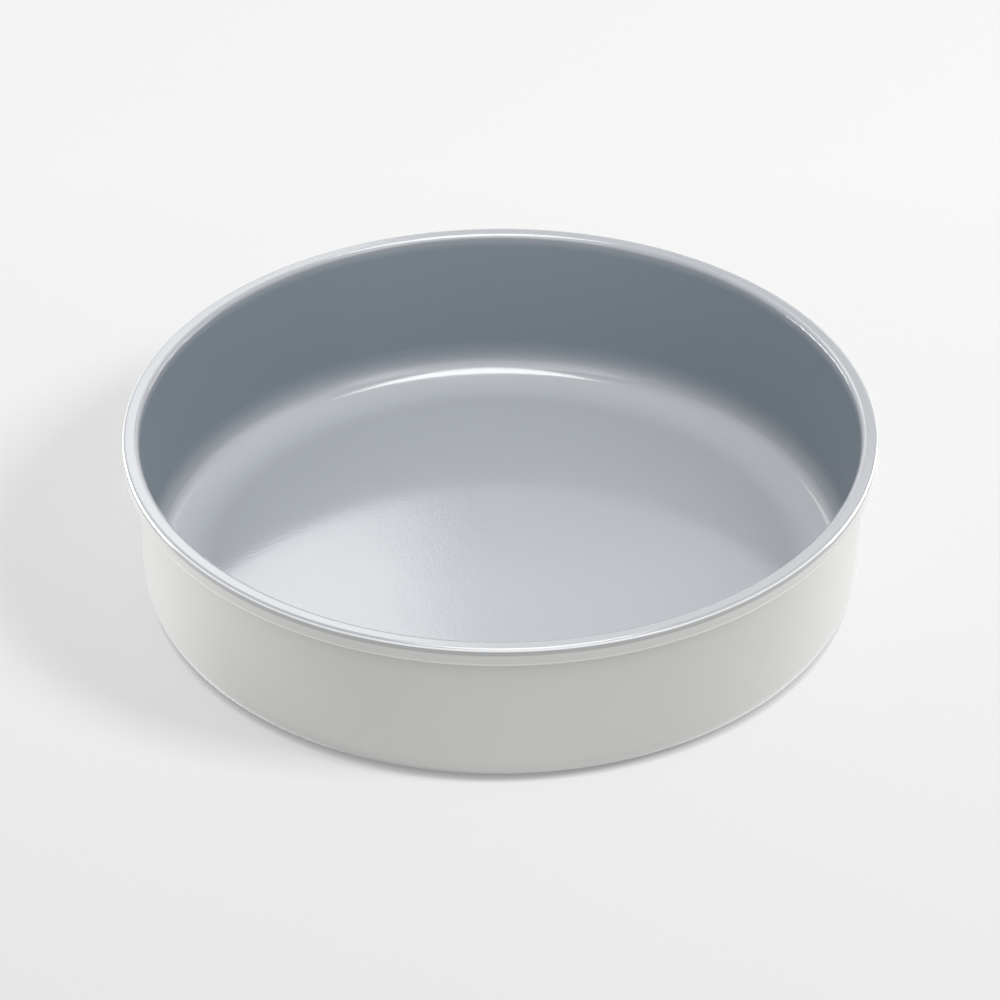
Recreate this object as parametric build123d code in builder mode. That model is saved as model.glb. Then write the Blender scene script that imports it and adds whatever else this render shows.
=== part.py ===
"""Round cake tin with a coated inside and outside and a rolled, wired rim.

The tin is turned about the Z axis. It stands on z = 0, its axis passes through the origin, and Z points
up, out of its mouth. All lengths are in millimetres and all angles in degrees.

One sheet of steel runs from the centre of the floor, round the cove, up the wall, over the rim top, down
the rim's outer face and back under the rim, round a ring of wire. A ceramic coat covers each side. Every
face of these layers is the same line, drawn at another depth below the face that touches the food.
"""

from build123d import *
import math
import os

os.makedirs("parts", exist_ok=True)

# Overall sizes
rim_diameter = 241.3
tin_height = 55.1
wall_draft = 0.7

# Sheet and coats
sheet_thickness = 1.0
coat_thickness = 0.12

# Bends: the cove is measured on its food face, the rim's bends on the inside of the sheet
cove_radius = 8.0
rim_bend_inside_radius = 0.58
rim_corner_inside_radius = 0.28

# Wire in the rim, its room at the sides and above and below, and the gap between its two ends
wire_diameter = 3.1
wire_clearance = 0.05
wire_headroom = 0.55
wire_end_gap = 0.6

# Free edge of the sheet under the rim, and the coat that closes the seam there
edge_gap = 0.3
seam_depth = 0.4
seam_fillet_radius = 0.4

# Where the two coats meet, as an angle up the rim's outer corner
coat_joint_angle = 12.0

# Depths of the four faces below the food face
food_face = 0
sheet_front = food_face + coat_thickness
sheet_back = sheet_front + sheet_thickness
outside_face = sheet_back + coat_thickness

# Rolled rim, built up from the wire outwards
rim_radius = rim_diameter / 2
rim_height = wire_diameter + 2 * (wire_headroom + sheet_back)
rim_underside_z = tin_height - rim_height
wire_z = tin_height - rim_height / 2
wire_ring_radius = rim_radius - sheet_back - wire_clearance - wire_diameter / 2
wall_back_radius_at_wire = wire_ring_radius - wire_diameter / 2 - wire_clearance


def wall_radius(z, depth):
    """Radius of the wall at height z: the draft opens it upwards, and depth counts square to the sheet."""
    leaning = (z - wire_z) * math.tan(math.radians(wall_draft))
    sideways = (depth - sheet_back) / math.cos(math.radians(wall_draft))
    return wall_back_radius_at_wire + leaning + sideways


def beside_wall(z, depth, distance):
    """Radius of a point at height z that lies a square distance outside the wall's face at this depth."""
    return wall_radius(z, depth) + distance / math.cos(math.radians(wall_draft))


# Centres of the bends, each tangent to its two neighbours
cove_z = cove_radius + outside_face
cove_r = beside_wall(cove_z, food_face, -cove_radius)
rim_bend_radius = rim_bend_inside_radius + sheet_back
rim_bend_z = tin_height - rim_bend_radius
rim_bend_r = beside_wall(rim_bend_z, food_face, rim_bend_radius)
rim_corner_radius = rim_corner_inside_radius + sheet_back
rim_corner_r = rim_radius - rim_corner_radius
upper_corner_z = tin_height - rim_corner_radius
lower_corner_z = rim_underside_z + rim_corner_radius
seam_z = rim_underside_z - seam_fillet_radius
seam_r = beside_wall(seam_z, outside_face, seam_fillet_radius)
sheet_edge_r = wall_radius(rim_underside_z, sheet_back) + edge_gap


def draw_cove(depth):
    """Bend from the floor to the wall."""
    return CenterArc((cove_r, cove_z), cove_radius + depth, -90, 90 - wall_draft)


def draw_rim_bend(depth):
    """Bend from the wall to the rim top."""
    return CenterArc((rim_bend_r, rim_bend_z), rim_bend_radius - depth, 180 - wall_draft, wall_draft - 90)


def draw_upper_corner(depth, first_angle, last_angle):
    """Part of the bend from the rim top to the rim's outer face, between two angles up from level."""
    radius = rim_corner_radius - depth
    return CenterArc((rim_corner_r, upper_corner_z), radius, first_angle, last_angle - first_angle)


def draw_lower_corner(depth):
    """Bend from the rim's outer face to the underside of the roll."""
    return CenterArc((rim_corner_r, lower_corner_z), rim_corner_radius - depth, 0, -90)


def draw_seam_fillet():
    """Hollow corner that the outer coat makes between the wall and the underside of the roll."""
    return CenterArc((seam_r, seam_z), seam_fillet_radius, 180 - wall_draft, wall_draft - 90)


def draw_tin_to_corner(depth, last_angle):
    """Draw floor, cove, wall, rim top and upper corner down to an angle, and return the two ends."""
    cove = draw_cove(depth)
    rim_bend = draw_rim_bend(depth)
    corner = draw_upper_corner(depth, 90, last_angle)
    centre = (0, outside_face - depth)
    Line(centre, cove @ 0)
    Line(cove @ 1, rim_bend @ 0)
    Line(rim_bend @ 1, corner @ 0)
    return centre, corner @ 1


def draw_roll_to_edge(depth, corner_end):
    """Draw the rim's outer face, lower corner and underside as far as the free edge, and return it."""
    lower_corner = draw_lower_corner(depth)
    free_edge = (sheet_edge_r, rim_underside_z + depth)
    Line(corner_end, lower_corner @ 0)
    Line(lower_corner @ 1, free_edge)
    return free_edge


# Steel shell: floor, wall and rolled rim from one sheet
with BuildPart() as steel_shell:
    with BuildSketch(Plane.YZ):
        with BuildLine():
            front_centre, front_corner = draw_tin_to_corner(sheet_front, 0)
            front_edge = draw_roll_to_edge(sheet_front, front_corner)
            back_centre, back_corner = draw_tin_to_corner(sheet_back, 0)
            back_edge = draw_roll_to_edge(sheet_back, back_corner)
            Line(front_centre, back_centre)
            Line(front_edge, back_edge)
        make_face()
    revolve(axis=Axis.Z)
steel_shell.part.label = "steel_shell"

# Rim wire: a ring bent from straight wire, so that its ends butt with a small gap at the back
wire_gap_angle = math.degrees(wire_end_gap / wire_ring_radius)
with BuildPart() as rim_wire:
    with BuildSketch(Plane.YZ):
        with Locations((wire_ring_radius, wire_z)):
            Circle(wire_diameter / 2)
    revolve(axis=Axis.Z, revolution_arc=360 - wire_gap_angle)
rim_wire.part.label = "rim_wire"

# Inner coating: the coat on floor, wall and rim top, as far as the joint on the upper corner
with BuildPart() as inner_coating:
    with BuildSketch(Plane.YZ):
        with BuildLine():
            food_centre, food_joint = draw_tin_to_corner(food_face, coat_joint_angle)
            under_centre, under_joint = draw_tin_to_corner(sheet_front, coat_joint_angle)
            Line(food_centre, under_centre)
            Line(food_joint, under_joint)
        make_face()
    revolve(axis=Axis.Z)
inner_coating.part.label = "inner_coating"

# Outer coating: from the joint down the rim's outer face, under the roll, down the wall and underneath
with BuildPart() as outer_coating:
    with BuildSketch(Plane.YZ):
        with BuildLine():
            # Finished face
            outside_cove = draw_cove(outside_face)
            outside_seam = draw_seam_fillet()
            outside_foot = draw_lower_corner(food_face)
            outside_joint = draw_upper_corner(food_face, 0, coat_joint_angle)
            Line((0, 0), outside_cove @ 0)
            Line(outside_cove @ 1, outside_seam @ 0)
            Line(outside_seam @ 1, outside_foot @ 1)
            Line(outside_foot @ 0, outside_joint @ 0)

            # Face against the steel, with the coat pressed a little way into the seam
            steel_cove = draw_cove(sheet_back)
            steel_joint = draw_upper_corner(sheet_front, 0, coat_joint_angle)
            steel_edge = draw_roll_to_edge(sheet_front, steel_joint @ 0)
            seam_top_z = rim_underside_z + sheet_front + seam_depth
            wall_at_seam_top = (wall_radius(seam_top_z, sheet_back), seam_top_z)
            edge_at_seam_top = (sheet_edge_r, seam_top_z)
            Line((0, outside_face - sheet_back), steel_cove @ 0)
            Line(steel_cove @ 1, wall_at_seam_top)
            Line(wall_at_seam_top, edge_at_seam_top)
            Line(edge_at_seam_top, steel_edge)

            # Ends
            Line((0, 0), (0, outside_face - sheet_back))
            Line(outside_joint @ 1, steel_joint @ 1)
        make_face()
    revolve(axis=Axis.Z)
outer_coating.part.label = "outer_coating"

for piece in (steel_shell, rim_wire, inner_coating, outer_coating):
    export_step(piece.part, f"parts/{piece.part.label}.step")
    print(f"{piece.part.label}: {piece.part.volume / 1000:.2f} cm3")

print(f"rim {rim_diameter:.1f} across and {rim_height:.2f} high, tin {tin_height:.1f} high")
print(f"inside {2 * wall_radius(rim_bend_z, food_face):.1f} across at the top")
print(f"inside {2 * wall_radius(cove_z, food_face):.1f} across above the cove")
print(f"flat floor {2 * cove_r:.1f} across")
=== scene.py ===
# %% [markdown]
# A round cake tin, dressed for its picture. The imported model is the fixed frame: it says where the steel, the
# wire and the two coats are. This script keeps that frame, gives the two coats surfaces fine enough for glossy
# reflections, gives every piece its finish, and sets up the studio.

import math

import bpy
import numpy as np
from mathutils import Matrix, Vector


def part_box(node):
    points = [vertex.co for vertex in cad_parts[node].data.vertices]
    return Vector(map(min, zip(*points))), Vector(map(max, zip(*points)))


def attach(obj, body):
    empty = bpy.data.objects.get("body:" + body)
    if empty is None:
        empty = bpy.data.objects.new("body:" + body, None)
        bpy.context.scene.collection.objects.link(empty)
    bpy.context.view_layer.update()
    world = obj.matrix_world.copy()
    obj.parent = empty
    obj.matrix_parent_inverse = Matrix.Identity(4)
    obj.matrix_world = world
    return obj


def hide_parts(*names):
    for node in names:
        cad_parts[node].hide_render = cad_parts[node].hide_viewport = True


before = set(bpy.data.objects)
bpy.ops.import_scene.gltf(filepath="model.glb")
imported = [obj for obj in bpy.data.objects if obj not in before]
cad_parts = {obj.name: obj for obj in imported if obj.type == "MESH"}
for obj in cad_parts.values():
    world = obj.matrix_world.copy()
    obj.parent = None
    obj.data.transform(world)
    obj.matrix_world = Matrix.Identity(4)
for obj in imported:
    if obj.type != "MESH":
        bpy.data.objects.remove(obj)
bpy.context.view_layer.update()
mm = 0.001
print("frame nodes:", ", ".join(sorted(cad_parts)))

# %% [markdown]
# The camera stands in front of the tin and looks down into it. Its height, distance, pitch and lens came from
# fitting the outlines of a tin of this size to the photograph: the rim, the sides of the wall and the base edge.
# A long lens from over a metre away keeps the ellipses of the rim and the base nearly alike.

# %% Camera
picture_side = 1000
focal_length_pixels = 4434.6
camera_height = 846.0 * mm
camera_distance = 1176.1 * mm
camera_right = -0.11 * mm
camera_pitch = math.radians(34.90)
camera_roll = math.radians(-0.132)

camera_data = bpy.data.cameras.new("camera")
camera_data.sensor_fit = "HORIZONTAL"
camera_data.sensor_width = 36.0
camera_data.lens = camera_data.sensor_width * focal_length_pixels / picture_side
camera_data.clip_start = 0.01
camera_data.clip_end = 50.0
camera = bpy.data.objects.new("camera", camera_data)
bpy.context.scene.collection.objects.link(camera)
look_down = Matrix.Rotation(math.radians(90) - camera_pitch, 4, "X")
camera.matrix_world = (
    Matrix.Translation((camera_right, -camera_distance, camera_height))
    @ look_down
    @ Matrix.Rotation(camera_roll, 4, "Z")
)
bpy.context.scene.camera = camera
bpy.context.scene.view_settings.view_transform = "Standard"
print(f"camera lens {camera_data.lens:.1f} mm")

# %% [markdown]
# The tin's sizes. The frame gives the outer sizes and the thicknesses, because each node's box ends on one of the
# sheet's faces. Only the bends, the draft of the wall and the small gaps have names of their own here. As on the
# drawing of the real tin, every face is one line at some depth below the face that touches the food.

# %% Sizes
_, outer_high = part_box("outer_coating")
inner_low, inner_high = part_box("inner_coating")
steel_low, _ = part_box("steel_shell")
wire_low, wire_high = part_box("rim_wire")
rim_radius = outer_high.x
tin_height = inner_high.z
coat_thickness = steel_low.z
sheet_thickness = inner_low.z - coat_thickness
wire_diameter = wire_high.z - wire_low.z

wall_draft = math.radians(0.7)
cove_radius = 8.0 * mm
rim_bend_inside_radius = 0.58 * mm
rim_corner_inside_radius = 0.28 * mm
wire_clearance = 0.05 * mm
wire_headroom = 0.55 * mm
edge_gap = 0.3 * mm
coat_joint_angle = math.radians(12.0)

food_face = 0.0
sheet_front = coat_thickness
sheet_back = coat_thickness + sheet_thickness
outside_face = 2 * coat_thickness + sheet_thickness
print(f"rim radius {rim_radius / mm:.2f} mm, height {tin_height / mm:.2f} mm")
print(f"sheet {sheet_thickness / mm:.2f} mm, coats {coat_thickness / mm:.2f} mm, wire {wire_diameter / mm:.2f} mm")

# %% [markdown]
# The bends follow from those sizes. The wall leans out by the draft, so its radius depends on the height. Each
# bend's centre is placed so that its circle touches the straight stretches on both sides of it.

# %% Places of the bends
rim_height = wire_diameter + 2 * (wire_headroom + sheet_back)
rim_underside_z = tin_height - rim_height
wire_z = tin_height - rim_height / 2
wall_back_radius_at_wire = rim_radius - sheet_back - wire_diameter - 2 * wire_clearance


def wall_radius(z, depth):
    """Radius of the wall: its radius at the wire, plus the lean of the draft, plus the depth across the wall."""
    lean = (z - wire_z) * math.tan(wall_draft)
    return wall_back_radius_at_wire + lean + (depth - sheet_back) / math.cos(wall_draft)


cove_z = cove_radius + outside_face
cove_r = wall_radius(cove_z, food_face) - cove_radius / math.cos(wall_draft)
rim_bend_radius = rim_bend_inside_radius + sheet_back
rim_bend_z = tin_height - rim_bend_radius
rim_bend_r = wall_radius(rim_bend_z, food_face) + rim_bend_radius / math.cos(wall_draft)
rim_corner_radius = rim_corner_inside_radius + sheet_back
rim_corner_r = rim_radius - rim_corner_radius
upper_corner_z = tin_height - rim_corner_radius
lower_corner_z = rim_underside_z + rim_corner_radius
sheet_edge_r = wall_radius(rim_underside_z, sheet_back) + edge_gap
print(f"flat floor {2 * cove_r / mm:.1f} mm across, rim {rim_height / mm:.2f} mm high")

# %% [markdown]
# A profile is a list of points (radius, height). Straight stretches crowd their points towards both ends, so that
# the shading of a large flat face isn't bent by the small facets of the bend beside it.

# %% Profile helpers
right_angle = math.radians(90)


def straight(start, end, count):
    """Points from start to end, spaced by half a cosine wave, closer at both ends; start itself is left out."""
    share = (1 - np.cos(np.pi * np.arange(1, count + 1) / count)) / 2
    return np.array(start) + share[:, None] * (np.array(end) - np.array(start))


def bend(centre, radius, first, last, count):
    """Points on a circle: centre plus radius times (cosine, sine) of evenly spaced angles from first to last."""
    angle = np.linspace(first, last, count)
    return np.array(centre) + radius * np.stack([np.cos(angle), np.sin(angle)], axis=1)


def sheet_line(depth, corner_end, counts):
    """One face of the sheet, from the axis to an angle on the rim's upper corner: floor, cove, wall, bend, top."""
    floor_count, bend_count, wall_count, top_count = counts
    cove = bend((cove_r, cove_z), cove_radius + depth, -right_angle, -wall_draft, bend_count)
    lip = bend((rim_bend_r, rim_bend_z), rim_bend_radius - depth, math.pi - wall_draft, right_angle, bend_count)
    corner = bend((rim_corner_r, upper_corner_z), rim_corner_radius - depth, right_angle, corner_end, bend_count)
    centre = np.array([0.0, outside_face - depth])
    return np.concatenate([
        [centre],
        straight(centre, cove[0], floor_count)[:-1],
        cove,
        straight(cove[-1], lip[0], wall_count)[:-1],
        lip,
        straight(lip[-1], corner[0], top_count)[:-1],
        corner,
    ])


print("a straight stretch in four steps:", straight((0, 0), (1, 0), 4)[:, 0].round(2))

# %% [markdown]
# The lathe turns a profile into a surface. It could be done with a Screw modifier, but index arrays are as short
# and leave a plain finished mesh. Points on the axis become one vertex, so the middle of the floor is a fan of
# triangles and not a ring of squeezed squares.

# %% Lathe
turn_steps = 640
axis_tolerance = 0.001 * mm


def lathe(name, profile):
    """Surface of revolution: point (r, z) at angle a goes to (r cos a, r sin a, z), closed at the axis and seam."""
    on_axis = profile[:, 0] < axis_tolerance
    angle = 2 * np.pi * np.arange(turn_steps) / turn_steps
    rings = []
    for (r, z), alone in zip(profile, on_axis):
        if alone:
            rings.append(np.array([[0.0, 0.0, z]]))
        else:
            rings.append(np.stack([r * np.cos(angle), r * np.sin(angle), np.full(turn_steps, z)], axis=1))
    points = np.concatenate(rings)
    first = np.cumsum([0] + [len(ring) for ring in rings[:-1]])

    here = np.arange(turn_steps)
    after = (here + 1) % turn_steps
    faces = []
    for i in range(len(profile) - 1):
        a, b = first[i], first[i + 1]
        if on_axis[i] and on_axis[i + 1]:
            continue
        if on_axis[i]:
            ring_faces = [np.full(turn_steps, a), b + here, b + after]
        elif on_axis[i + 1]:
            ring_faces = [a + here, np.full(turn_steps, b), a + after]
        else:
            ring_faces = [a + here, b + here, b + after, a + after]
        faces += np.stack(ring_faces, axis=1).tolist()

    mesh = bpy.data.meshes.new(name)
    mesh.from_pydata(points, [], faces)
    mesh.shade_smooth()
    mesh.update()
    piece = bpy.data.objects.new(name, mesh)
    bpy.context.scene.collection.objects.link(piece)
    print(f"{name}: {len(points)} points, {len(faces)} faces")
    return piece


# %% [markdown]
# The inner coat covers the floor, cove, wall and rim top. Its food face is drawn from the axis outwards and its
# hidden face back to the axis, so the profile closes into a thin shell, like the real skin of coating. On the real
# tin the floor isn't quite flat to its edge: the sprayed coat gathers at the foot of the cove. A wide arc lifts the
# last stretch of the floor by a quarter of a millimetre, which is what bends the reflections there.

# %% Inner coat
# Points on the floor, on each bend, on the wall and on the rim top
fine_counts = (10, 20, 16, 6)
plain_counts = (4, 8, 4, 3)

# The floor's raised edge: where it starts, its slope at the cove, and its points
saucer_start = 90.0 * mm
saucer_slope = math.radians(1.6)
saucer_count = 12


def food_line():
    """The food face: the sheet's line, but a wide arc lifts the floor's edge to a small slope, and the cove too."""
    foot_r = cove_r + cove_radius * math.sin(saucer_slope)
    wide_radius = (foot_r - saucer_start) / math.sin(saucer_slope)
    rise = (wide_radius + cove_radius) * (1 - math.cos(saucer_slope))
    foot_angle = saucer_slope - right_angle
    floor_count, bend_count, wall_count, _ = fine_counts

    # From the top of the wall on, the line is the sheet's own, so its points up to there are cut off
    below_lip = floor_count + bend_count + wall_count - 1
    rim = sheet_line(food_face, coat_joint_angle, fine_counts)[below_lip:]

    middle = (0.0, outside_face)
    saucer_centre = (saucer_start, outside_face + wide_radius)
    saucer = bend(saucer_centre, wide_radius, -right_angle, foot_angle, saucer_count)
    cove = bend((cove_r, cove_z + rise), cove_radius, foot_angle, -wall_draft, bend_count)
    flat = straight(middle, saucer[0], floor_count)[:-1]
    wall = straight(cove[-1], rim[0], wall_count)[:-1]
    print(f"floor's edge rises {rise / mm:.2f} mm")
    return np.concatenate([[middle], flat, saucer, cove[1:], wall, rim])


food_side = food_line()
hidden_side = sheet_line(sheet_front, coat_joint_angle, plain_counts)
inner_coat = lathe("inner_coat", np.concatenate([food_side, hidden_side[::-1]]))
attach(inner_coat, "root")
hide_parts("inner_coating")

# %% [markdown]
# The outer coat starts where the inner coat ends, on the rim's upper corner. It covers the rim's outer face, turns
# under the roll, dips into the seam beside the wall, and goes down the wall and under the base. The sheet's free
# edge ends inside the seam, so the coat is drawn round that edge with a small radius.

# %% Outer coat
seam_depth = 0.22 * mm
seam_round = 0.13 * mm
outside_counts = {"corner": 14, "face": 6, "underside": 5, "edge": 6, "wall": 16, "cove": 20, "base": 10}


def outside_line():
    """Finished outside, from the joint on the upper corner round the roll, through the seam and to the axis."""
    count = outside_counts
    upper = bend((rim_corner_r, upper_corner_z), rim_corner_radius, coat_joint_angle, 0, count["corner"])
    lower = bend((rim_corner_r, lower_corner_z), rim_corner_radius, 0, -right_angle, count["corner"])
    edge_r = sheet_edge_r - coat_thickness + seam_round
    edge_z = rim_underside_z + seam_round
    edge = bend((edge_r, edge_z), seam_round, -right_angle, -math.pi, count["edge"])
    wall_top = np.array([wall_radius(rim_underside_z, outside_face), rim_underside_z])
    seam_middle = (wall_top[0] + edge[-1][0]) / 2
    seam_bottom = (seam_middle, rim_underside_z + seam_depth)
    cove = bend((cove_r, cove_z), cove_radius + outside_face, -wall_draft, -right_angle, count["cove"])
    return np.concatenate([
        upper,
        straight(upper[-1], lower[0], count["face"])[:-1],
        lower,
        straight(lower[-1], edge[0], count["underside"])[:-1],
        edge,
        [seam_bottom],
        [wall_top],
        straight(wall_top, cove[0], count["wall"])[:-1],
        cove,
        straight(cove[-1], (0.0, 0.0), count["base"]),
    ])


print(f"seam {seam_depth / mm:.2f} mm deep, with the sheet's edge rounded to {seam_round / mm:.2f} mm")

# %% [markdown]
# The coat's other face lies against the steel. It is never seen, so it has few points. Together the two faces make
# one closed line, and the lathe turns it into a closed shell.

# %% Hidden face of the outer coat
steel_counts = {"base": 3, "cove": 10, "wall": 4, "corner": 8}


def steel_line():
    """Face against the steel: from the axis under the base, up the wall, round the roll and up to the joint."""
    count = steel_counts
    middle = (0.0, outside_face - sheet_back)
    cove = bend((cove_r, cove_z), cove_radius + sheet_back, -right_angle, -wall_draft, count["cove"])
    seam_top_z = rim_underside_z + sheet_front + sheet_thickness / 2
    wall_top = (wall_radius(seam_top_z, sheet_back), seam_top_z)
    steel_corner_radius = rim_corner_radius - sheet_front
    lower = bend((rim_corner_r, lower_corner_z), steel_corner_radius, -right_angle, 0, count["corner"])
    upper = bend((rim_corner_r, upper_corner_z), steel_corner_radius, 0, coat_joint_angle, count["corner"])
    return np.concatenate([
        [middle],
        straight(middle, cove[0], count["base"])[:-1],
        cove,
        straight(cove[-1], wall_top, count["wall"]),
        [(sheet_edge_r, seam_top_z)],
        [(sheet_edge_r, rim_underside_z + sheet_front)],
        lower,
        upper,
    ])


outer_profile = np.concatenate([outside_line(), steel_line()])
outer_profile = np.concatenate([outer_profile, outer_profile[:1]])
outer_coat = lathe("outer_coat", outer_profile[::-1])
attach(outer_coat, "root")
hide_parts("outer_coating")

# %% [markdown]
# The tin stands on a wide sheet of white paper. A plane that reaches several metres each way keeps its edge out of
# every view. The sheet is only scenery.

# %% Paper sweep
floor_half = 4.0
floor_corners = np.array([[-1, -1, 0], [1, -1, 0], [1, 1, 0], [-1, 1, 0]]) * floor_half
floor_mesh = bpy.data.meshes.new("studio_floor")
floor_mesh.from_pydata(floor_corners, [], [(0, 1, 2, 3)])
studio_floor = bpy.data.objects.new("studio_floor", floor_mesh)
bpy.context.scene.collection.objects.link(studio_floor)
print(f"paper {2 * floor_half:.0f} m across")

# %% [markdown]
# Every finish starts the same way: a new material with its main shader, and the piece's own coordinates in metres.
# Small helpers add the nodes, so that each finish below reads as a short list. Noise lies mostly in a middle part
# of its range, so `between` stretches that part over the range that a finish wants.

# %% Node helpers
noise_low = 0.3
noise_high = 0.7


def new_finish(name):
    """Empty material with its main shader and the piece's own coordinates."""
    material = bpy.data.materials.new(name)
    material.use_nodes = True
    tree = material.node_tree
    shader = tree.nodes["Principled BSDF"]
    coordinates = tree.nodes.new("ShaderNodeTexCoord")
    return material, tree, shader, coordinates.outputs["Object"]


def add_node(tree, kind, inputs=(), **settings):
    """Add a node, set its settings, and give each named or numbered socket a value or a link."""
    node = tree.nodes.new(kind)
    for name, value in settings.items():
        setattr(node, name, value)
    for socket, value in dict(inputs).items():
        if isinstance(value, bpy.types.NodeSocket):
            tree.links.new(value, node.inputs[socket])
        else:
            node.inputs[socket].default_value = value
    return node


def cloud(tree, where, size, detail=2.0):
    """Soft three-dimensional noise around one half, whose patches are about this size in metres."""
    return add_node(tree, "ShaderNodeTexNoise", {"Vector": where, "Scale": 1 / size, "Detail": detail}).outputs[0]


def ramp(tree, value, start, end, low, high, smooth=False):
    """Number that goes from low to high while the value goes from start to end, evenly or in an S-curve."""
    kind = "SMOOTHSTEP" if smooth else "LINEAR"
    inputs = {0: value, 1: start, 2: end, 3: low, 4: high}
    return add_node(tree, "ShaderNodeMapRange", inputs, interpolation_type=kind).outputs[0]


def between(tree, share, low, high):
    """Number that goes from low to high over the part of the noise where most of it lies."""
    return ramp(tree, share, noise_low, noise_high, low, high)


def combine(tree, kind, first, second):
    """Two numbers joined by one operation of the Math node, such as a sum, a product or the larger of the two."""
    return add_node(tree, "ShaderNodeMath", {0: first, 1: second}, operation=kind).outputs[0]


def blend_colours(tree, share, first, second):
    """Colour from the first to the second while the share goes from 0 to 1; each is a colour or a link."""
    colours = [c if isinstance(c, bpy.types.NodeSocket) else (*c, 1.0) for c in (first, second)]
    # The Mix node keeps its two colours in sockets 6 and 7, and the result in output 2
    inputs = {0: share, 6: colours[0], 7: colours[1]}
    return add_node(tree, "ShaderNodeMix", inputs, data_type="RGBA").outputs[2]


def use_finish(piece, material):
    """Give the piece this finish as its only one."""
    piece.data.materials.clear()
    piece.data.materials.append(material)
    print(f"{piece.name}: finish {material.name}, {len(material.node_tree.nodes)} nodes")


# %% [markdown]
# The inner coat is a sprayed ceramic in blue-grey. Its colour isn't the same everywhere, and much of that is
# painted light. A paler band at the foot of the cove, fading up the cove, is painted light reflected from the cove.
# The floor is the coat's colour with a painted sheen of the softbox overhead, lighter and more neutral than the
# upright wall. The wall is darker and bluer, and its darkness is painted shade; painted light makes it a little
# lighter again towards the top. On the rim top it is nearly the floor's colour, and along the rim's outer edge a
# narrow pale line runs round, a painted highlight. Height and distance from the axis tell these places apart. Over
# all of them lie a slow drift of several centimetres and the fine grain of the pigment.

# %% Colour of the inner coat
drift_size = 45 * mm
grain_size = 0.45 * mm
grain_share = 0.35

inner_finish, tree, shader, where = new_finish("inner_ceramic")
drift = cloud(tree, where, drift_size)
grain = cloud(tree, where, grain_size, detail=1.0)
slow_share = between(tree, drift, grain_share, 1 - grain_share)
mottle = combine(tree, "ADD", slow_share, between(tree, grain, -grain_share, grain_share))
# Floor: the coat's colour with a painted sheen of the softbox overhead
floor_sheen_tone = blend_colours(tree, mottle, (0.350, 0.366, 0.391), (0.365, 0.382, 0.408))
# Foot of the cove: a paler band of painted light, reflected from the cove
foot_reflection_tone = blend_colours(tree, mottle, (0.478, 0.493, 0.513), (0.496, 0.512, 0.533))
cove_tone = blend_colours(tree, mottle, (0.324, 0.344, 0.374), (0.337, 0.358, 0.389))
# Upright wall: darker, in painted shade
wall_shade_tone = blend_colours(tree, mottle, (0.176, 0.217, 0.254), (0.188, 0.231, 0.270))
# Top of the wall: a little lighter, in painted light
wall_top_light_tone = blend_colours(tree, mottle, (0.190, 0.234, 0.274), (0.203, 0.249, 0.291))
rim_tone = blend_colours(tree, mottle, (0.344, 0.357, 0.378), (0.359, 0.373, 0.396))
# Rim's outer edge: a narrow painted highlight
painted_highlight_tone = (0.64, 0.645, 0.65)
print("inner coat: six mottled tones and one plain one")

# %% [markdown]
# Each tone now gets its place. A ramp on the distance from the axis or on the height is 0 before the place, 1 in
# it, and rises in between, so it serves as the share of a blend. The narrow painted highlight on the rim's edge has
# a ramp on each side, and the product of the two is 1 only between them.

# %% Places of the inner coat's tones
foot_reflection_start, foot_reflection_full = 92 * mm, 108 * mm
cove_start, cove_full = 1.7 * mm, 4.6 * mm
wall_start, wall_full = 5 * mm, 13 * mm
top_light_start, top_light_full = 18 * mm, 52 * mm
rim_start, rim_full = 50.5 * mm, 54.5 * mm
line_start, line_full = rim_corner_r + 0.80 * mm, rim_corner_r + 0.92 * mm
line_fades, line_end = rim_corner_r + 1.20 * mm, rim_corner_r + 1.27 * mm

axes = add_node(tree, "ShaderNodeSeparateXYZ", {0: where}).outputs
level = add_node(tree, "ShaderNodeCombineXYZ", {0: axes[0], 1: axes[1]}).outputs[0]
from_axis = add_node(tree, "ShaderNodeVectorMath", {0: level}, operation="LENGTH").outputs["Value"]
# Share of the paler foot band, painted light reflected from the cove
foot_reflection_share = ramp(tree, from_axis, foot_reflection_start, foot_reflection_full, 0.0, 1.0, smooth=True)
in_cove = ramp(tree, axes[2], cove_start, cove_full, 0.0, 1.0)
# Share of the wall's tone, darker in painted shade
off_floor = ramp(tree, axes[2], wall_start, wall_full, 0.0, 1.0)
# Share of the painted light towards the top of the wall
top_light_share = ramp(tree, axes[2], top_light_start, top_light_full, 0.0, 1.0)
on_rim = ramp(tree, axes[2], rim_start, rim_full, 0.0, 1.0)
# The narrow line between these two ramps is a painted highlight
past_top = ramp(tree, from_axis, line_start, line_full, 0.0, 1.0)
above_face = ramp(tree, from_axis, line_fades, line_end, 1.0, 0.0)
highlight_share = combine(tree, "MULTIPLY", past_top, above_face)

low_tone = blend_colours(tree, foot_reflection_share, floor_sheen_tone, blend_colours(tree, in_cove, foot_reflection_tone, cove_tone))
high_tone = blend_colours(tree, top_light_share, wall_shade_tone, wall_top_light_tone)
side_tone = blend_colours(tree, off_floor, low_tone, high_tone)
upper_tone = blend_colours(tree, highlight_share, rim_tone, painted_highlight_tone)
tree.links.new(blend_colours(tree, on_rim, side_tone, upper_tone), shader.inputs["Base Color"])
print(f"pale foot from {foot_reflection_start / mm:.0f} mm off the axis, wall's tone from {wall_full / mm:.0f} mm up")

# %% [markdown]
# The gloss follows the same places: smooth on the floor and the rim top, and more matt where the spray lands dry on
# the upper cove and the wall. A ceramic glaze mirrors more than a plastic does, hence the high index of refraction.
# Spraying also leaves a faint orange peel of a millimetre or so, and the pigment a fine grain. Both are bumps in
# the finish, because they are a few hundredths of a millimetre deep at most, far too small to model.

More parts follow.
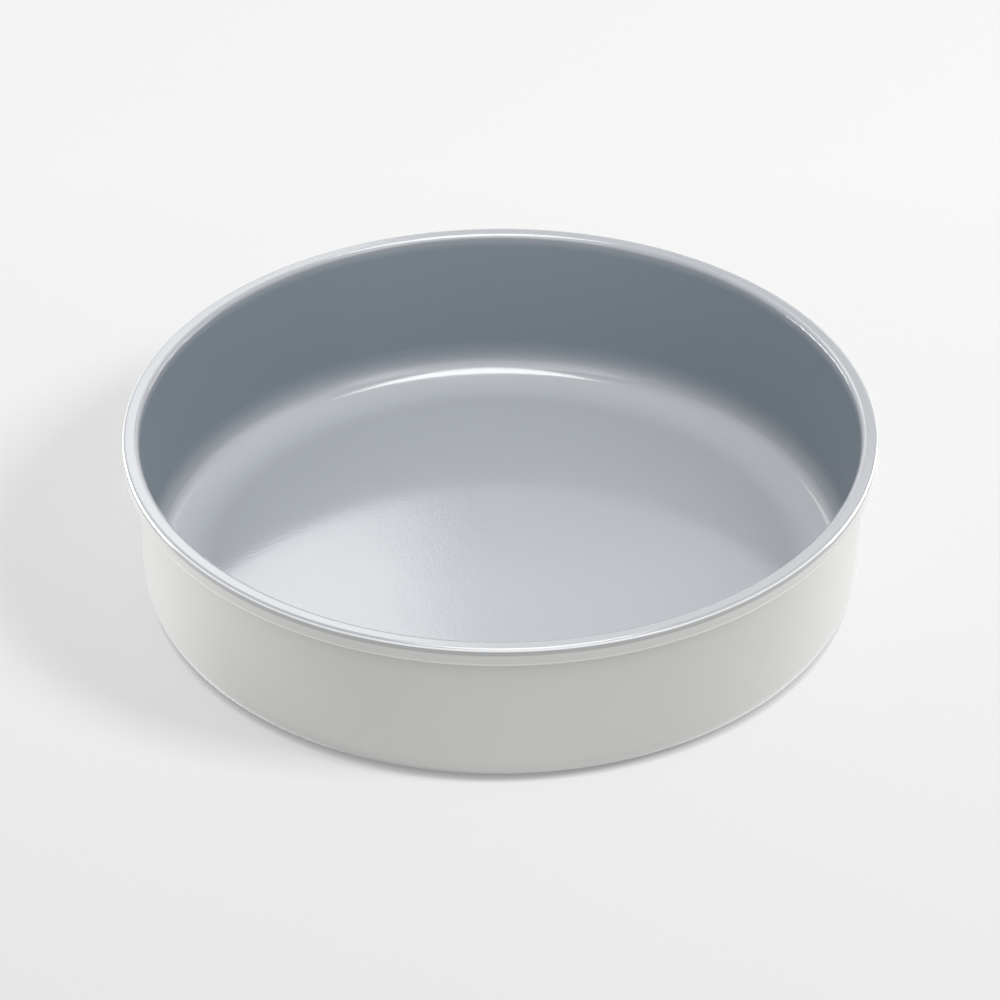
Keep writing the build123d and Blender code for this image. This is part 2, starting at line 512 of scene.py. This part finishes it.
# %% Gloss of the inner coat
dry_start, dry_full = 3.5 * mm, 6.0 * mm
smooth_low, smooth_high = 0.10, 0.14
dry_extra = 0.30
grain_depth = 0.007 * mm
peel_size, peel_depth = 1.2 * mm, 0.022 * mm

above_foot = ramp(tree, axes[2], dry_start, dry_full, 0.0, 1.0)
on_wall = combine(tree, "MULTIPLY", above_foot, combine(tree, "SUBTRACT", 1.0, on_rim))
dry_spray = combine(tree, "MULTIPLY", on_wall, dry_extra)
matt = combine(tree, "ADD", between(tree, drift, smooth_low, smooth_high), dry_spray)
tree.links.new(matt, shader.inputs["Roughness"])
shader.inputs["IOR"].default_value = 1.9

peel = cloud(tree, where, peel_size)
grain_bump = add_node(tree, "ShaderNodeBump", {"Height": grain, "Strength": 1.0, "Distance": grain_depth})
peel_inputs = {"Height": peel, "Strength": 1.0, "Distance": peel_depth, "Normal": grain_bump.outputs[0]}
peel_bump = add_node(tree, "ShaderNodeBump", peel_inputs)
tree.links.new(peel_bump.outputs[0], shader.inputs["Normal"])
use_finish(inner_coat, inner_finish)

# %% [markdown]
# The outer coat is a gloss enamel in off-white, with a wider orange peel. Two narrow bands on the roll differ from
# it. Just under the upper corner the grey spray of the inside drifts over it on the real tin, in a grey band that
# ends unevenly. Along the lower corner a slightly paler line is a painted reflection of the pale paper. Both bands
# are made by height, and noise of a few millimetres makes the edge of the grey one wander.

# %% Colour of the outer coat
outer_finish, tree, shader, where = new_finish("outer_ceramic")
drift = cloud(tree, where, 60 * mm)
enamel_tone = blend_colours(tree, between(tree, drift, 0.2, 0.8), (0.515, 0.515, 0.500), (0.535, 0.535, 0.520))
overspray_tone = (0.365, 0.365, 0.36)
# Along the lower corner: a paler line, a painted reflection of the paper
reflection_line_tone = (0.68, 0.68, 0.67)

wander_size, wander_reach = 7 * mm, 0.08 * mm
overspray_end, overspray_full = upper_corner_z - 0.95 * mm, upper_corner_z - 0.60 * mm
reflection_line_full, reflection_line_end = lower_corner_z - 0.4 * mm, lower_corner_z + 0.05 * mm
roll_below, roll_above = rim_underside_z - 0.02 * mm, rim_underside_z + 0.02 * mm

height = add_node(tree, "ShaderNodeSeparateXYZ", {0: where}).outputs[2]
wander = between(tree, cloud(tree, where, wander_size), -wander_reach, wander_reach)
wandering_height = combine(tree, "ADD", height, wander)
overspray = ramp(tree, wandering_height, overspray_end, overspray_full, 0.0, 1.0, smooth=True)
# The pale line along the lower corner is a painted reflection
reflection_line_below = ramp(tree, height, reflection_line_full, reflection_line_end, 1.0, 0.0)
reflection_line_above = ramp(tree, height, roll_below, roll_above, 0.0, 1.0)
reflection_line = combine(tree, "MULTIPLY", reflection_line_below, reflection_line_above)
roll_tone = blend_colours(tree, overspray, enamel_tone, overspray_tone)
tree.links.new(blend_colours(tree, reflection_line, roll_tone, reflection_line_tone), shader.inputs["Base Color"])
print(f"grey overspray down to {(tin_height - overspray_end) / mm:.1f} mm under the rim top")

# %% [markdown]
# The enamel mirrors the pale paper at a flat angle, so the sides of the wall look nearly white. A high index of
# refraction does part of that. A little sheen, the soft glow that a rough surface has at a flat angle, does the
# rest.

# %% Gloss of the outer coat
tree.links.new(between(tree, drift, 0.20, 0.25), shader.inputs["Roughness"])
shader.inputs["IOR"].default_value = 2.0
shader.inputs["Sheen Weight"].default_value = 0.7
shader.inputs["Sheen Roughness"].default_value = 0.3
peel_size, peel_depth = 2.2 * mm, 0.012 * mm
peel = cloud(tree, where, peel_size)
peel_bump = add_node(tree, "ShaderNodeBump", {"Height": peel, "Strength": 1.0, "Distance": peel_depth})
tree.links.new(peel_bump.outputs[0], shader.inputs["Normal"])
use_finish(outer_coat, outer_finish)

# %% [markdown]
# Steel and wire are hidden between the coats, so their meshes stay as the frame has them. They still get their own
# finish, for anyone who takes the tin apart: a metal whose grey and gloss vary in noise that is stretched along one
# direction, as rolling and drawing leave it.

# %% Finish of the steel and the wire
streak_stretch = (1.0, 0.08, 1.0)


def bare_steel(name, dark, light, size):
    """Rolled or drawn steel: two close greys and a varying roughness in stretched noise."""
    material, tree, shader, where = new_finish(name)
    along = add_node(tree, "ShaderNodeMapping", {"Vector": where, "Scale": streak_stretch}).outputs[0]
    streaks = cloud(tree, along, size, detail=4.0)
    grey = blend_colours(tree, between(tree, streaks, 0.0, 1.0), dark, light)
    tree.links.new(grey, shader.inputs["Base Color"])
    tree.links.new(between(tree, streaks, 0.28, 0.42), shader.inputs["Roughness"])
    shader.inputs["Metallic"].default_value = 1.0
    return material


sheet_finish = bare_steel("steel_shell", (0.58, 0.59, 0.60), (0.66, 0.67, 0.68), 0.6 * mm)
wire_finish = bare_steel("rim_wire", (0.50, 0.51, 0.52), (0.60, 0.61, 0.62), 0.3 * mm)
use_finish(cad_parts["steel_shell"], sheet_finish)
use_finish(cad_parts["rim_wire"], wire_finish)

# %% [markdown]
# The paper has two looks, told apart by the kind of ray. For light that bounces on it, it is plain matt paper. The
# camera and the glossy coats see a darker matt grey, so that it keeps the tin's shadow, and on top of that the even
# pale glow of a lit sweep, which falls off a little towards the camera. Both darken in the tight corner under the
# base.

# %% Finish of the paper
paper_finish, tree, shader, where = new_finish("floor_paper")
fibres = between(tree, cloud(tree, where, 0.8 * mm, detail=3.0), 0.0, 1.0)
paper_tone = blend_colours(tree, fibres, (0.59, 0.59, 0.59), (0.61, 0.61, 0.61))
tree.links.new(paper_tone, shader.inputs["Base Color"])
shader.inputs["Roughness"].default_value = 1.0
shader.inputs["Specular IOR Level"].default_value = 0.0

corner_reach = 2.8 * mm
corner_darkest = 0.43
glow_front, glow_back = 0.50, 0.635
glow_reach = 0.25

corner = add_node(tree, "ShaderNodeAmbientOcclusion", {"Distance": corner_reach}).outputs["AO"]
open_share = ramp(tree, corner, 0.0, 1.0, corner_darkest, 1.0)
matt_tone = blend_colours(tree, open_share, (0.0, 0.0, 0.0), (0.26, 0.26, 0.26))
sweep_matt = add_node(tree, "ShaderNodeBsdfDiffuse", {"Color": matt_tone})
towards_back = add_node(tree, "ShaderNodeSeparateXYZ", {0: where}).outputs[1]
falloff = ramp(tree, towards_back, -glow_reach, glow_reach, glow_front, glow_back)
glow = combine(tree, "MULTIPLY", falloff, open_share)
sweep_light = add_node(tree, "ShaderNodeEmission", {"Strength": glow})
sweep = add_node(tree, "ShaderNodeAddShader", {0: sweep_matt.outputs[0], 1: sweep_light.outputs[0]})

rays = add_node(tree, "ShaderNodeLightPath").outputs
seen = combine(tree, "MAXIMUM", rays["Is Camera Ray"], rays["Is Glossy Ray"])
paper = add_node(tree, "ShaderNodeMixShader", {0: seen, 1: shader.outputs[0], 2: sweep.outputs[0]})
tree.links.new(paper.outputs[0], tree.nodes["Material Output"].inputs["Surface"])
use_finish(studio_floor, paper_finish)

# %% [markdown]
# Studio lamps, each placed where the photograph's reflections show it. The bright crescent in the cove and the
# long line round the rim are the softbox overhead. The pale patch on the floor and the thin line in the right of
# the cove are the panel behind on the left. The broad panel in front lights the back of the wall, and the low lamps
# at the sides brighten the sides of the outside. A lamp's brightness is that of its face, so its power follows from
# its area.

# %% Lamps
target = Vector((0.0, 0.0, 0.03))
lamps = {}


def softbox(name, place, width, height, radiance, aim=target, shape="RECTANGLE"):
    """Lamp that faces the aim; its power is pi times its area times the brightness of its face."""
    area = width * height * (math.pi / 4 if shape == "ELLIPSE" else 1)
    data = bpy.data.lights.new(name, "AREA")
    data.shape = shape
    data.size = width
    data.size_y = height
    data.energy = math.pi * area * radiance
    lamp = bpy.data.objects.new(name, data)
    lamp.location = place
    lamp.rotation_euler = (Vector(aim) - Vector(place)).to_track_quat("-Z", "Y").to_euler()
    lamp.visible_camera = False
    bpy.context.scene.collection.objects.link(lamp)
    lamps[name] = lamp
    print(f"{name}: {data.energy:.2f} W")
    return lamp


softbox("overhead", (0.06, 0.12, 1.0), 0.47, 0.95, 5.2, aim=(0.06, 0.12, 0.0), shape="ELLIPSE")
softbox("back_left", (-0.385, 1.30, 1.02), 0.69, 0.42, 1.65)
softbox("back_high", (0.20, 1.35, 1.22), 1.1, 0.40, 0.95)
softbox("back_low", (0.10, 1.80, 0.75), 1.6, 0.5, 1.0)
softbox("right_key", (1.05, 0.15, 1.05), 1.0, 1.0, 0.4)
softbox("front_high", (0.10, -1.05, 1.25), 2.1, 1.3, 1.15)
softbox("front_right", (0.90, -0.75, 1.0), 0.6, 0.6, 0.9)
softbox("front_left", (-0.90, -0.75, 1.0), 0.6, 0.6, 0.3)
softbox("left_key", (-1.05, 0.10, 1.05), 0.6, 0.6, 0.2)
softbox("left_low", (-1.15, 0.60, 0.045), 0.8, 0.08, 100.0)
softbox("right_low", (1.15, 0.60, 0.045), 0.8, 0.08, 66.0)
softbox("front_left_strip", (-1.0, -1.0, 0.25), 0.30, 0.5, 1.2)
softbox("front_right_strip", (1.0, -1.0, 0.25), 0.30, 0.5, 1.2)

# %% [markdown]
# Those lamps light the tin alone, so that they leave no dark halo on the paper round it. The paper has a lamp of
# its own, from the right and a little in front, and the tin's soft shadow falls to the left from that.

# %% Lamp for the paper
tin_alone = bpy.data.collections.new("tin_alone")
for piece in (inner_coat, outer_coat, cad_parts["steel_shell"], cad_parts["rim_wire"]):
    tin_alone.objects.link(piece)
for lamp in lamps.values():
    lamp.light_linking.receiver_collection = tin_alone

paper_alone = bpy.data.collections.new("paper_alone")
paper_alone.objects.link(studio_floor)
paper_lamp = softbox("shadow_key", (1.75, -0.72, 1.90), 0.7, 0.7, 44.0)
paper_lamp.light_linking.receiver_collection = paper_alone

# %% [markdown]
# The world is an even white at half strength. It fills the shadows as the pale walls of a studio do.

# %% World
world = bpy.data.worlds.new("studio")
world.use_nodes = True
background = world.node_tree.nodes["Background"]
background.inputs["Color"].default_value = (1.0, 1.0, 1.0, 1.0)
background.inputs["Strength"].default_value = 0.5
bpy.context.scene.world = world
print(f"an even white world and {len(bpy.data.lights)} lamps")
